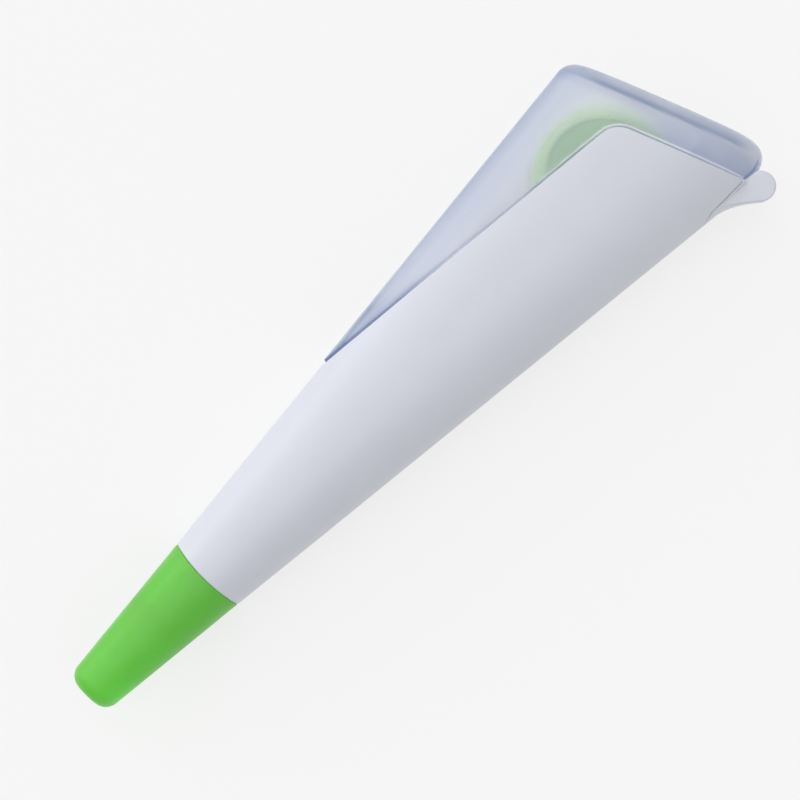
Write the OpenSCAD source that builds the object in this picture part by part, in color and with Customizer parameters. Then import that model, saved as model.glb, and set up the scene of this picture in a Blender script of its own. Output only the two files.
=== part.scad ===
// Pen-style correction tape: a wedge-shaped sheath in two white halves, a translucent reel case that
// shows at the window and the tail, a green pull-off cap, and the geared tape drive inside.
// The supply reel's axis is the origin, the pen lies on its back at z = 0, and the tip points to -X.

/* [Body] */
// Distance from the supply reel's axis to the front end of the white sheath
nose_len = 97; // [94:0.5:104]
// Distance from the supply reel's axis to the tail edge, measured along the pen
tail_len = 17.35; // [17:0.05:24]
// Slant of the tail edge from square, in degrees
tail_slant = 21.4; // [10:0.2:24]
// Half width of the sheath at the supply reel's axis
half_w = 17.45; // [17:0.05:20]
// Taper of each side towards the tip, in degrees
side_taper = 5.9; // [5.5:0.05:6]
// Half thickness of the crowned body at the reels
half_t = 9.4; // [9.3:0.05:10]
// How much thinner the half thickness is at the tip of the cap
nose_drop = 4.2; // [3.6:0.1:4.4]
// Distance from the supply reel's axis to where the body starts to thin
thin_start = 45; // [40:1:55]
// Depth of the flat that the back is cut to, below the crown
back_flat = 0.35; // [0.2:0.05:0.6]
// Roundness exponent of the cross section at the tip
nose_power = 2.3; // [2:0.1:3]
// Roundness exponent of the cross section at the tail
tail_power = 2.6; // [2.6:0.1:3.4]

/* [Covers] */
// Wall of the white covers
skin = 1.1; // [0.9:0.05:1.2]
// Gap between the covers and the case under them
cover_gap = 0.15; // [0.1:0.05:0.3]
// Distance from the reel axis to the window's edge, across the pen
window_y = 5.9; // [4:0.05:8]
// Slope of the window's edge towards the tail, in degrees
window_slope = 5.5; // [4:0.1:7]
// Distance from the tail edge of the case to the tail edge of the covers
tail_show = 7.4; // [5.5:0.1:8.5]
// Radius of the covers' corner at the window
window_r = 3.5; // [2:0.1:5]
// Radius of the lug's round end
lug_r = 2.6; // [2:0.1:3]
// Place of the lug's round end along the pen
lug_x = 18.2; // [16:0.1:18.5]
// Length of the lug's flare along the side
lug_root = 9.7; // [8.5:0.1:12]
// How far the lug's end centre stands out from the side line
lug_out = 1.05; // [0.8:0.05:1.5]
// Angle at which the flare runs out from the pen's axis, in degrees
lug_flare = 41; // [35:1:50]
// Height of the lug above the parting plane
lug_up = 4.8; // [3:0.1:5]
// Depth of the lug below the parting plane
lug_down = 1.4; // [1:0.1:3]

/* [Case] */
// Wall of the translucent case
case_wall = 1.0; // [0.8:0.05:1.1]
// Thickness of the case's end wall at the tail
end_wall = 2.4; // [2:0.1:2.8]
// How far the bare part of the case stands proud of the covers' side line
case_proud = 0.35; // [0.1:0.05:0.5]
// How far the bare part of the case lies below the covers' face
case_sunk = 0.1; // [0.05:0.05:0.3]
// Distance from the reel axis to the open front end of the case
case_len = 62; // [59:1:70]
// Rounding of the tail's upper corner
tail_round_up = 2.6; // [2.2:0.1:4]
// Rounding of the tail's lower corner
tail_round_low = 7; // [5:0.1:8]
// Rounding of the tail edge through the thickness
tail_round_z = 2.6; // [2.2:0.1:4]
// Free height between the case's floor and its mid plane
case_room = 5.8; // [5.75:0.05:5.9]

/* [Cap] */
// Length of the cap
cap_len = 29.5; // [28:0.5:34]
// Wall of the cap
cap_wall = 1.2; // [1:0.05:1.3]
// End wall of the cap
cap_end = 1.5; // [1:0.1:2.5]
// Corner radius of the cap's end
cap_round = 2.3; // [2:0.1:3.4]
// Gap between the cap's mouth and the covers
mouth_gap = 0.15; // [0.1:0.05:0.4]
// How far the cap's mouth reaches back at the sides, in a bow
mouth_bow = 0.6; // [0:0.1:1]
// Length over which the bow dies out on each side of the mouth
bow_fade = 20; // [15:1:25]
// Gap between the cap and the collar inside it
seat_gap = 0.1; // [0.05:0.05:0.15]
// Length of the collar that stands in the cap
collar_out = 10; // [8:0.5:11]
// Length of the collar that is held in the covers
collar_in = 9; // [6:0.5:12]
// Wall of the collar
collar_wall = 1.0; // [0.8:0.05:1.1]

/* [Drive] */
// Module of the gears
gear_module = 0.5; // [0.48:0.005:0.5]
// Teeth of the supply gear
supply_teeth = 48; // [46:2:48]
// Teeth of the idler gear
idler_teeth = 24; // [24:2:26]
// Teeth of the take-up gear
take_up_teeth = 20; // [18:2:20]
// Play between gear flanks at the pitch circle
backlash = 0.12; // [0.1:0.01:0.2]
// Thickness of the gears
gear_t = 1.2; // [0.9:0.1:1.2]
// Radial clearance of everything that turns on a post
run_gap = 0.05; // [0.02:0.01:0.08]
// Clearance along the posts between stacked pieces
stack_gap = 0.1; // [0.05:0.05:0.15]
// Radial clearance of pieces pressed together
press_gap = 0.02; // [0.01:0.01:0.03]

/* [Reels] */
// Width of the correction tape
tape_w = 5; // [4.2:0.1:5]
// Radius of the full tape roll
roll_r = 11; // [9:0.1:11.2]
// Radius of the supply reel's flanges
flange_r = 12.4; // [11.5:0.1:12.6]
// Thickness of the reel flanges
flange_t = 0.8; // [0.6:0.05:0.9]
// Radius of the supply reel's core
core_r = 5.2; // [4.8:0.1:7]
// Radius of the raised disc on the front of the supply reel
disc_r = 9.7; // [8:0.1:11]
// Height of the raised disc
disc_t = 1.4; // [1:0.1:1.5]
// Radius of the hub that carries the clutch ring
hub_r = 3; // [2.8:0.1:3.2]
// Thickness of the clutch ring
ring_t = 0.72; // [0.6:0.02:0.8]
// Radius of the supply post
post_r = 2; // [1.7:0.1:2.2]
// Radius of the take-up spool's core
take_up_core_r = 4.2; // [3.8:0.1:4.4]
// Thickness of the used film on the take-up spool
film_t = 0.38; // [0.2:0.02:1.5]
// Radius of the take-up spool's flanges
take_up_flange_r = 8.8; // [7.5:0.1:8.9]
// Radius of the take-up post
take_up_post_r = 1.6; // [1.3:0.1:1.8]
// Radius of the idler post
idler_post_r = 1.2; // [1:0.1:1.4]
// Thickness of the retaining caps
keeper_t = 0.6; // [0.4:0.05:0.6]
// How far a retaining cap reaches past its post
keeper_lip = 0.5; // [0.4:0.05:0.6]
// How much thinner a post is where its retaining cap sits
spigot_step = 0.5; // [0.3:0.05:0.6]

/* [Chassis and tip] */
// Thickness of the chassis plate
plate_t = 0.8; // [0.6:0.05:0.85]
// Half width of the chassis plate at its tail end
plate_half_w = 8; // [6:0.1:8.5]
// Half width of the chassis plate at its front end
plate_front_w = 5; // [4:0.1:5.5]
// Distance from the reel axis to the chassis plate's tail end
plate_tail = 9; // [6:0.5:10]
// Distance from the reel axis to the chassis plate's front end
plate_front = 50; // [48:0.5:56]
// Place of the guide post along and across the pen
guide_at = [-70, 4.6]; // [-80:0.1:10]
// Radius of the guide post
guide_r = 1; // [0.8:0.1:1.1]
// Half width of the rail that carries the applicator
rail_half_w = 1.5; // [1.2:0.1:1.6]
// Thickness of the rail
rail_t = 0.9; // [0.7:0.05:0.95]
// Radius of the pin that holds the applicator on the rail
pin_r = 0.8; // [0.6:0.05:0.9]
// Length of the applicator that reaches past the covers
tip_reach = 21.6; // [20:0.1:23]
// Half thickness of the applicator's shank
shank_half = 1.6; // [1.5:0.05:1.8]
// Length of the applicator's tapering blade
blade_len = 14.6; // [12:0.1:15]
// Radius of the soft edge at the applicator's tip
pad_r = 0.5; // [0.4:0.05:0.6]
// Thickness of the applicator's side flanges
side_t = 0.8; // [0.6:0.05:0.9]
// Half width of the side flanges at the shank
side_half = 2.6; // [2.3:0.1:2.7]
// Half width of the side flanges at the tip
side_tip = 1; // [0.8:0.05:1.3]
// Thickness that the tape strands are drawn with
strand_t = 0.12; // [0.08:0.02:0.16]
// Gap between a strand and what it runs over
strand_gap = 0.06; // [0.04:0.01:0.1]

/* [Resolution] */
// Facets of half a cross section
arc_steps = 16; // [12:2:20]
// Cross sections along a cover
long_steps = 10; // [8:1:14]
// Cross sections in a rounded end
round_steps = 5; // [4:1:7]

/* [Hidden] */
$fn = 96;
// Overlap that makes a cut pass right through
eps = 0.5;
// Size of a block that reaches past the whole pen
far = 200;

// Heights of the body and of the stack on the posts
mid_z = half_t - back_flat;
tip_x = nose_len + mouth_gap + cap_len;
plate_z = mid_z - case_room + stack_gap;
gear_z = plate_z + plate_t + 2 * stack_gap;
tape_z = mid_z - tape_w / 2;
rear_flange_z = tape_z - stack_gap - flange_t;
front_flange_z = tape_z + tape_w + stack_gap;
disc_z = front_flange_z + flange_t;
supply_top = disc_z + disc_t;

// Nested surfaces, as insets at the upper side, at the lower side and through the body
all_round = [1, 1, 1];
cover_out = 0 * all_round;
cover_in = skin * all_round;
case_out = (skin + cover_gap) * all_round;
case_in = case_out + case_wall * all_round;
bare_out = [-case_proud, skin, case_sunk];
bare_in = case_out + case_wall / 2 * all_round;
cap_in = cap_wall * all_round;
collar_outside = max(skin + cover_gap, cap_wall + seat_gap) * all_round;
collar_inside = collar_outside + collar_wall * all_round;

// Gear centres, in line along the pen
supply_pitch = gear_module * supply_teeth / 2;
idler_pitch = gear_module * idler_teeth / 2;
take_up_pitch = gear_module * take_up_teeth / 2;
idler_x = -(supply_pitch + idler_pitch);
take_up_x = idler_x - idler_pitch - take_up_pitch;
film_r = take_up_core_r + film_t;
ring_in = hub_r + press_gap;
ring_out = ring_in + ring_t;

// Applicator places
applicator_x = -(nose_len + tip_reach);
blade_root_x = applicator_x + blade_len;
shank_end_x = -(nose_len - collar_in / 3);
pin_x = (blade_root_x + shank_end_x) / 2;
rail_z = tape_z - stack_gap - side_t - stack_gap / 2 - rail_t;
strand_off = strand_gap + strand_t / 2;

function mix(a, b, t) = a + (b - a) * t;
function clamp01(t) = min(1, max(0, t));
function smooth(t) = let (u = clamp01(t)) u * u * (3 - 2 * u);
function unit(v) = v / norm(v);

// Half width, half thickness, slant, roundness and bow of the body at a place s along the pen
function half_width(s) = half_w + s * tan(side_taper);
function half_thick(s) =
    half_t - nose_drop * pow(max(0, -s - thin_start) / (tip_x - thin_start), 2);
function slant_at(s) = tan(tail_slant) * smooth((s + case_len) / case_len);
function power_at(s) = mix(nose_power, tail_power, smooth((s + tip_x) / tip_x));
function bow_at(s) = mouth_bow * max(0, 1 - abs(s + nose_len) / bow_fade);

// One point of a cross section: station is [s, upper, lower, through, lag], with the extra insets of a
// rounded end and how far the lower side lags behind s, inset is a nested surface, and limit is the
// height at which the section is cut flat
function section_point(station, inset, limit, a) =
    let (
        p = 2 / power_at(station[0]),
        across = sign(cos(a)) * pow(abs(cos(a)), p),
        s = station[0] - station[4] * (1 - across) / 2,
        k = slant_at(s),
        upper = half_width(s) / (1 + k * tan(side_taper)) - inset[0] - station[1],
        lower = half_width(s) / (1 - k * tan(side_taper)) - inset[1] - station[2],
        h = half_thick(s) - inset[2] - station[3],
        y = (across >= 0 ? upper : lower) * across,
        z = sign(sin(a)) * min(limit, h * pow(abs(sin(a)), p))
    )
    [s + bow_at(s) * across * across - k * y, y, mid_z + z];

// Stations from s0 to a closed tail at s1 whose edge is rounded, or to an open end
function plain_stations(s0, s1, n) = [for (i = [0 : n]) [mix(s0, s1, i / n), 0, 0, 0, 0]];
function tail_stations(s0, s1, n, shrink) =
    let (
        up = tail_round_up - shrink,
        low = tail_round_low - shrink,
        through = tail_round_z - shrink
    )
    concat(
        [for (i = [0 : n - 1]) [mix(s0, s1 - up, i / n), 0, 0, 0, (low - up) * i / n]],
        [for (i = [0 : round_steps])
            let (a = 90 * i / round_steps, in = 1 - cos(a), back = 1 - sin(a))
            [s1 - up * back, up * in, low * cos(tail_slant) * in, through * in, (low - up) * back]]
    );

function half_ring(station, inset, limit) =
    [for (i = [0 : arc_steps]) section_point(station, inset, limit, 180 * i / arc_steps)];
function full_ring(station, inset) =
    [for (i = [0 : 2 * arc_steps - 1]) section_point(station, inset, far, 180 * i / arc_steps)];

// Triangles between two rows of m points that start at index a and index b
function strip(a, b, m) =
    [for (j = [0 : m - 2]) each [[a + j, b + j, b + j + 1], [a + j, b + j + 1, a + j + 1]]];
function loop_strip(a, b, m) =
    [for (j = [0 : m - 1]) let (q = (j + 1) % m) each [[a + j, b + j, b + q], [a + j, b + q, a + q]]];
function flipped(faces) = [for (f = faces) [for (i = [len(f) - 1 : -1 : 0]) f[i]]];
function run(a, m) = [for (j = [0 : m - 1]) a + j];

// Front half of a shell between two nested surfaces, open at the front end and open or closed at the tail
module half_shell(outer, inner, outset, inset, out_limit, in_limit, closed) {
    n = len(outer);
    m = arc_steps + 1;
    outer_points = [for (st = outer) each half_ring(st, outset, out_limit)];
    inner_points = [for (st = inner) each half_ring(st, inset, in_limit)];
    base = n * m;
    last = (n - 1) * m;
    skin_out = [for (i = [0 : n - 2]) each strip(i * m, (i + 1) * m, m)];
    skin_in = [for (i = [0 : n - 2]) each flipped(strip(base + i * m, base + (i + 1) * m, m))];
    rims = [for (i = [0 : n - 2]) each [
        [i * m, base + i * m, base + (i + 1) * m, (i + 1) * m],
        [i * m + m - 1, (i + 1) * m + m - 1, base + (i + 1) * m + m - 1, base + i * m + m - 1]
    ]];
    front = flipped(strip(0, base, m));
    tail = closed
        ? [
            [for (j = [m - 1 : -1 : 0]) last + j],
            run(base + last, m),
            [last, base + last, base + last + m - 1, last + m - 1]
        ]
        : strip(last, base + last, m);
    polyhedron(concat(outer_points, inner_points), concat(skin_out, skin_in, rims, front, tail), 10);
}

// Whole round shell between two rows of stations, open at the first and open or closed at the last
module tube_shell(outer, inner, outset, inset, closed) {
    n = len(outer);
    k = len(inner);
    m = 2 * arc_steps;
    outer_points = [for (st = outer) each full_ring(st, outset)];
    inner_points = [for (st = inner) each full_ring(st, inset)];
    base = n * m;
    skin_out = [for (i = [0 : n - 2]) each flipped(loop_strip(i * m, (i + 1) * m, m))];
    skin_in = [for (i = [0 : k - 2]) each loop_strip(base + i * m, base + (i + 1) * m, m)];
    mouth = loop_strip(0, base, m);
    last = (n - 1) * m;
    inner_last = base + (k - 1) * m;
    end = closed
        ? [run(last, m), [for (j = [m - 1 : -1 : 0]) inner_last + j]]
        : flipped(loop_strip(last, inner_last, m));
    polyhedron(concat(outer_points, inner_points), concat(skin_out, skin_in, mouth, end), 10);
}

// Outline of the window that the covers leave open, grown away from the covers' edge by a clearance
function window_outline(grow) =
    let (
        along = [-cos(window_slope), sin(window_slope)],
        down = [sin(tail_slant), -cos(tail_slant)],
        edge = [0, window_y + grow / cos(window_slope)],
        tail = [tail_len - (tail_show - grow) / cos(tail_slant), 0],
        cross_len = (along[0] * down[1] - along[1] * down[0]),
        t = ((tail[0] - edge[0]) * down[1] - (tail[1] - edge[1]) * down[0]) / cross_len,
        corner = edge + t * along,
        half = acos(along * down) / 2,
        r = window_r + grow,
        centre = corner + unit(along + down) * r / sin(half),
        first = unit(corner + along * r / tan(half) - centre),
        second = unit(corner + down * r / tan(half) - centre)
    )
    concat(
        [corner + along * far],
        [for (i = [0 : round_steps + 2])
            centre + r * unit(mix(first, second, i / (round_steps + 2)))],
        [corner + down * far, [far, -far], [far, far], [-far, far]]
    );

module window_prism(grow) {
    linear_extrude(2 * far, center = true) polygon(window_outline(grow));
}

module front_to_rear() {
    translate([0, 0, 2 * mid_z]) mirror([0, 0, 1]) children();
}

// White sheath half, seen from the front
module cover_half() {
    stations = plain_stations(-nose_len, tail_len, long_steps);
    difference() {
        half_shell(stations, stations, cover_out, cover_in, far, far, false);
        window_prism(0);
    }
}

// Translucent case half: the part under the covers and the thicker bare part at the window and tail
module case_half() {
    hidden = tail_stations(-case_len, tail_len - case_out[0], long_steps, 0);
    inner = tail_stations(-case_len, tail_len - end_wall, long_steps, tail_round_z / 2);
    bare = tail_stations(-case_len + eps, tail_len, long_steps, 0);
    bare_inner = tail_stations(-case_len + eps, tail_len - (case_out[0] + end_wall) / 2, long_steps, 0);
    half_shell(hidden, inner, case_out, case_in, far, case_room, true);
    intersection() {
        half_shell(bare, bare_inner, bare_out, bare_in, mid_z - case_sunk, far, true);
        window_prism(cover_gap);
    }
}

// Point of the lower side line at a place x along the pen, moved inwards by an inset
function low_side(x, inset) = [x, -half_width(x) + inset / cos(side_taper)];

// Lug by which the covers are parted: a flare that leaves the lower side smoothly, and a round end
function lug_outline() =
    let (
        side = [cos(side_taper), -sin(side_taper)],
        flare = [cos(lug_flare), -sin(lug_flare)],
        centre = low_side(lug_x, -lug_out),
        start = low_side(lug_x - lug_root, 0),
        turn = -90 - lug_flare,
        join = centre + lug_r * [cos(turn), sin(turn)],
        reach = ((join[0] - start[0]) * flare[1] - (join[1] - start[1]) * flare[0])
            / (side[0] * flare[1] - side[1] * flare[0]),
        bend = start + reach * side,
        inner = skin - cover_gap,
        close = asin(min(1, (lug_out + inner) / lug_r)) - side_taper,
        steps = 2 * arc_steps
    )
    concat(
        [low_side(lug_x - lug_root, skin / 2)],
        [for (i = [0 : arc_steps]) let (t = i / arc_steps) mix(mix(start, bend, t), mix(bend, join, t), t)],
        [for (i = [1 : steps]) let (a = mix(turn, close, i / steps)) centre + lug_r * [cos(a), sin(a)]]
    );

// The lug, or with a clearance the room that the front cover leaves for it
module lug(grow = 0) {
    translate([0, 0, mid_z - lug_down - grow]) linear_extrude(lug_up + lug_down + 2 * grow)
        offset(delta = grow) polygon(lug_outline());
}

module front_cover() {
    color([0.87, 0.88, 0.91]) difference() {
        cover_half();
        lug(cover_gap);
    }
}

module rear_cover() {
    color([0.87, 0.88, 0.91]) difference() {
        union() {
            front_to_rear() cover_half();
            lug();
        }
        translate([-far, -far, -far]) cube([2 * far, 2 * far, far]);
    }
}

module front_case() {
    color([0.78, 0.81, 0.86, 0.5]) case_half();
}

module rear_case() {
    color([0.78, 0.81, 0.86, 0.5]) front_to_rear() case_half();
}

// Stations of the cap from its mouth to its rounded end
function cap_stations(x0, x1, r) = concat(
    plain_stations(x0, x1 + r, 5),
    [for (i = [1 : round_steps])
        let (a = 90 * i / round_steps, in = r * (1 - cos(a)))
        [x1 + r * (1 - sin(a)), in, in, in, 0]]
);

module cap() {
    mouth = -(nose_len + mouth_gap);
    color([0.35, 0.72, 0.25]) tube_shell(
        cap_stations(mouth, -tip_x, cap_round),
        cap_stations(mouth, -(tip_x - cap_end), cap_round / 2),
        cover_out, cap_in, true
    );
}

module nose_collar() {
    stations = plain_stations(-(nose_len - collar_in), -(nose_len + collar_out), 3);
    color([0.85, 0.86, 0.88]) tube_shell(stations, stations, collar_outside, collar_inside, false);
}

// Post with a thinner spigot for its retaining cap
module post(r, top) {
    translate([0, 0, plate_z]) cylinder(r = r, h = top - plate_z);
    translate([0, 0, plate_z]) cylinder(r = r - spigot_step, h = top + keeper_t - plate_z);
}

// Heights at which the retaining caps sit
supply_post_top = supply_top + stack_gap;
idler_post_top = gear_z + gear_t + stack_gap;
take_up_post_top = front_flange_z + flange_t + stack_gap;

module chassis() {
    color([0.83, 0.84, 0.86]) union() {
        translate([0, 0, plate_z]) linear_extrude(plate_t) polygon([
            [plate_tail, -plate_half_w], [plate_tail, plate_half_w],
            [-plate_front, plate_front_w], [-plate_front, -plate_front_w]
        ]);
        translate([guide_at[0] - guide_r, 0, rail_z]) cube([2 * guide_r, guide_at[1], rail_t]);
        translate([guide_at[0], guide_at[1], rail_z])
            cylinder(r = guide_r, h = tape_z + tape_w - rail_z);
        post(post_r, supply_post_top);
        translate([idler_x, 0, 0]) post(idler_post_r, idler_post_top);
        translate([take_up_x, 0, 0]) post(take_up_post_r, take_up_post_top);
        translate([-plate_front, -rail_half_w, plate_z])
            cube([2 * rail_half_w, 2 * rail_half_w, rail_z + rail_t - plate_z]);
        translate([blade_root_x, -rail_half_w, rail_z])
            cube([-plate_front + rail_half_w - blade_root_x, 2 * rail_half_w, rail_t]);
        translate([pin_x, 0, rail_z]) cylinder(r = pin_r, h = mid_z - rail_z);
    }
}

// Angle from a tooth's centre to its involute flank at radius r
function flank_angle(teeth, r) =
    let (
        pressure = 20,
        pitch = gear_module * teeth / 2,
        base = pitch * cos(pressure),
        at = acos(min(1, base / r)),
        involute = (tan(pressure) - tan(at)) * 180 / PI - pressure + at
    )
    90 / teeth - backlash / 2 / pitch * 180 / PI + involute;

function gear_outline(teeth, phase) =
    let (
        pitch = gear_module * teeth / 2,
        root = pitch - 1.25 * gear_module,
        tip = pitch + 0.95 * gear_module,
        start = max(root, pitch * cos(20)),
        radii = concat([root], [for (i = [0 : 3]) mix(start + 0.01, tip, i / 3)])
    )
    [for (i = [0 : teeth - 1]) let (mid = phase + 360 * i / teeth) each concat(
        [for (r = radii) let (a = mid - flank_angle(teeth, max(r, start))) r * [cos(a), sin(a)]],
        [for (j = [len(radii) - 1 : -1 : 0])
            let (r = radii[j], a = mid + flank_angle(teeth, max(r, start))) r * [cos(a), sin(a)]]
    )];

module gear_disc(teeth, phase) {
    translate([0, 0, gear_z]) linear_extrude(gear_t) polygon(gear_outline(teeth, phase));
}

// Bore that runs on a post, right through
module bore(r, z = -eps) {
    translate([0, 0, z]) cylinder(r = r, h = far);
}

module disc(r, z, h) {
    translate([0, 0, z]) cylinder(r = r, h = h);
}

module supply_gear() {
    hub_top = front_flange_z - stack_gap;
    color([0.9, 0.9, 0.88]) difference() {
        union() {
            gear_disc(supply_teeth, 0);
            disc(hub_r, gear_z, hub_top - gear_z);
        }
        bore(post_r + run_gap);
    }
}

module clutch_ring() {
    color([0.2, 0.2, 0.22]) difference() {
        disc(ring_out, tape_z, tape_w);
        bore(ring_in);
    }
}

module supply_reel() {
    color([0.5, 0.78, 0.4]) difference() {
        union() {
            disc(flange_r, rear_flange_z, flange_t);
            disc(core_r, rear_flange_z, disc_z - rear_flange_z);
            disc(flange_r, front_flange_z, flange_t);
            disc(disc_r, front_flange_z, supply_top - front_flange_z);
        }
        bore(post_r + run_gap);
        translate([0, 0, -eps]) cylinder(r = ring_out + run_gap, h = front_flange_z + stack_gap + eps);
    }
}

module tape_roll() {
    color([0.96, 0.96, 0.94]) difference() {
        disc(roll_r, tape_z, tape_w);
        bore(core_r + press_gap);
    }
}

// Retaining cap pressed on a post's spigot
module keeper(r, z) {
    difference() {
        disc(r + keeper_lip, z, keeper_t);
        bore(r - spigot_step + press_gap);
    }
}

module post_cap() {
    color([0.83, 0.84, 0.86]) keeper(post_r, supply_post_top);
}

module idler_gear() {
    color([0.9, 0.9, 0.88]) translate([idler_x, 0, 0]) difference() {
        gear_disc(idler_teeth, 180 / idler_teeth);
        bore(idler_post_r + run_gap);
    }
}

module idler_cap() {
    color([0.83, 0.84, 0.86]) translate([idler_x, 0, 0]) keeper(idler_post_r, idler_post_top);
}

// Radius of the boss on the take-up spool that its front flange is pressed on
take_up_boss_r = (take_up_core_r + take_up_post_r) / 2;

module take_up_spool() {
    color([0.9, 0.9, 0.88]) translate([take_up_x, 0, 0]) difference() {
        union() {
            gear_disc(take_up_teeth, 0);
            disc(take_up_core_r, gear_z, front_flange_z - gear_z);
            disc(take_up_flange_r, rear_flange_z, flange_t);
            disc(take_up_boss_r, gear_z, front_flange_z + flange_t - gear_z);
        }
        bore(take_up_post_r + run_gap);
    }
}

module take_up_flange() {
    color([0.9, 0.9, 0.88]) translate([take_up_x, 0, 0]) difference() {
        disc(take_up_flange_r, front_flange_z, flange_t);
        bore(take_up_boss_r + press_gap);
    }
}

module take_up_film() {
    color([0.8, 0.82, 0.84]) translate([take_up_x, 0, 0]) difference() {
        disc(film_r, tape_z, tape_w);
        bore(take_up_core_r + press_gap);
    }
}

module take_up_cap() {
    color([0.83, 0.84, 0.86]) translate([take_up_x, 0, 0]) keeper(take_up_post_r, take_up_post_top);
}

// Blade with a shank on the rail and a side flange on each side of the tape
module applicator() {
    blade_end = applicator_x + pad_r + strand_gap;
    side_end = applicator_x + side_tip / 2;
    color([0.86, 0.87, 0.88]) difference() {
        union() {
            translate([0, 0, tape_z - stack_gap]) linear_extrude(tape_w + 2 * stack_gap) polygon([
                [shank_end_x, -shank_half], [shank_end_x, shank_half], [blade_root_x, shank_half],
                [blade_end, pad_r / 2], [blade_end, -pad_r / 2], [blade_root_x, -shank_half]
            ]);
            for (z = [tape_z - stack_gap - side_t, tape_z + tape_w + stack_gap])
                translate([0, 0, z]) linear_extrude(side_t) {
                    polygon([
                        [shank_end_x, -shank_half], [shank_end_x, shank_half],
                        [blade_root_x + side_half, side_half], [blade_root_x, side_half],
                        [side_end, side_tip], [side_end, -side_tip],
                        [blade_root_x, -side_half], [blade_root_x + side_half, -side_half]
                    ]);
                    translate([side_end, 0]) circle(side_tip, $fn = 48);
                }
        }
        translate([pin_x, 0, -eps]) cylinder(r = pin_r + press_gap, h = mid_z + 2 * eps);
    }
}

module tip_pad() {
    color([0.75, 0.77, 0.8]) translate([applicator_x, 0, 0])
        disc(pad_r, tape_z - stack_gap / 2, tape_w + stack_gap);
}

// Unit normal of the outer tangent line from one circle to another, on the side +1 or -1 of travel
function tangent_normal(c1, r1, c2, r2, side) =
    let (d = c2 - c1, a = atan2(d[1], d[0]) - side * acos((r1 - r2) / norm(d)))
    [cos(a), sin(a)];
function arc_about(c, r, n1, n2, steps) = [for (i = [0 : steps]) c + r * unit(mix(n1, n2, i / steps))];

// Flat ribbon of the strand's thickness along a path, standing the tape's width high
module ribbon(path) {
    n = len(path);
    tangents = [for (i = [0 : n - 1]) unit(path[min(n - 1, i + 1)] - path[max(0, i - 1)])];
    normals = [for (t = tangents) [-t[1], t[0]]];
    left = [for (i = [0 : n - 1]) path[i] + normals[i] * strand_t / 2];
    right = [for (i = [n - 1 : -1 : 0]) path[i] - normals[i] * strand_t / 2];
    translate([0, 0, tape_z]) linear_extrude(tape_w) polygon(concat(left, right));
}

blade_path_y = shank_half + strand_off;
pad_path_r = pad_r + strand_off;

// Half turn of the strand round the applicator's edge, from the side +1 or -1 to the very tip
function tip_turn(side) =
    let (
        root = [blade_root_x, side * blade_path_y],
        pad = [applicator_x, 0],
        n = tangent_normal(root, 0, pad, pad_path_r, side)
    )
    concat([root], arc_about(pad, pad_path_r, n, [-1, 0], 5));

module tape_feed() {
    roll_path_r = roll_r + strand_off;
    guide_path_r = guide_r + strand_off;
    root = [blade_root_x, blade_path_y];
    leave = tangent_normal([0, 0], roll_path_r, guide_at, guide_path_r, 1);
    on = tangent_normal(guide_at, guide_path_r, root, 0, 1);
    color([0.96, 0.96, 0.94]) ribbon(concat(
        [leave * roll_path_r],
        arc_about(guide_at, guide_path_r, leave, on, 3),
        tip_turn(1)
    ));
}

module tape_return() {
    film_path_r = film_r + strand_off;
    root = [blade_root_x, -blade_path_y];
    centre = [take_up_x, 0];
    leave = tangent_normal(centre, film_path_r, root, 0, -1);
    color([0.8, 0.82, 0.84]) ribbon(concat([centre + leave * film_path_r], tip_turn(-1)));
}

front_cover();
rear_cover();
front_case();
rear_case();
cap();
nose_collar();
chassis();
supply_gear();
clutch_ring();
supply_reel();
tape_roll();
post_cap();
idler_gear();
idler_cap();
take_up_spool();
take_up_flange();
take_up_film();
take_up_cap();
applicator();
tip_pad();
tape_feed();
tape_return();
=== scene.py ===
"""Looks of a pen-style correction tape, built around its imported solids.

The shells follow one tapering crowned form. Lengths are in millimetres until a mesh is finished.
"""

import bisect
import logging
import math
from dataclasses import dataclass
from enum import Enum
from functools import lru_cache
from itertools import accumulate, chain
from typing import NamedTuple

import bmesh
import bpy
from bmesh.types import BMesh
from bpy.types import Material, Node, NodeSocket, NodeTree, Object
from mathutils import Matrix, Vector


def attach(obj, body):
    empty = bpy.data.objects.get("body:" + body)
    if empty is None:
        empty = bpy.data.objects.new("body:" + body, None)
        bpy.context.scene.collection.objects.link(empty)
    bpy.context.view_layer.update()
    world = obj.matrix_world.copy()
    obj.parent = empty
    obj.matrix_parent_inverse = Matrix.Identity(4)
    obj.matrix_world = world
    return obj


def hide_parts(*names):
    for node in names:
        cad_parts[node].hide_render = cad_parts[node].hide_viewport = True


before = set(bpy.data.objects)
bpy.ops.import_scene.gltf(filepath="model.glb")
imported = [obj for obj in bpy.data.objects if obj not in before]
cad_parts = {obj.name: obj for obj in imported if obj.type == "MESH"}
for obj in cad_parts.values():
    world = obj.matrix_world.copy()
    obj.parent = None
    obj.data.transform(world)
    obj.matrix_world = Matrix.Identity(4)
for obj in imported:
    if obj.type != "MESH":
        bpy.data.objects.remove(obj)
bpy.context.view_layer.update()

LOG = logging.getLogger("correction_tape")
MM = 0.001
WELD = 1e-4
SHARP = math.radians(38)
RIM_ANGLE = math.radians(50)
QUARTER = math.pi / 2
HALVINGS = 50
PointRows = list[list[Vector]]


class Half(Enum):
    """The two halves that meet at the parting plane."""

    FRONT = 1
    REAR = -1


class Body(Enum):
    """The moving bodies of the pen."""

    ROOT = "root"
    CAP = "cap"


def mix(a: float, b: float, t: float) -> float:
    """Value between a and b at share t."""
    return a + (b - a) * t


def smooth(t: float) -> float:
    """Smooth step from 0 to 1."""
    u = min(1.0, max(0.0, t))
    return u * u * (3 - 2 * u)


def bell(t: float) -> float:
    """Smooth bump that is 1 at 0 and dies out by about 2."""
    return math.exp(-t * t)


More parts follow.
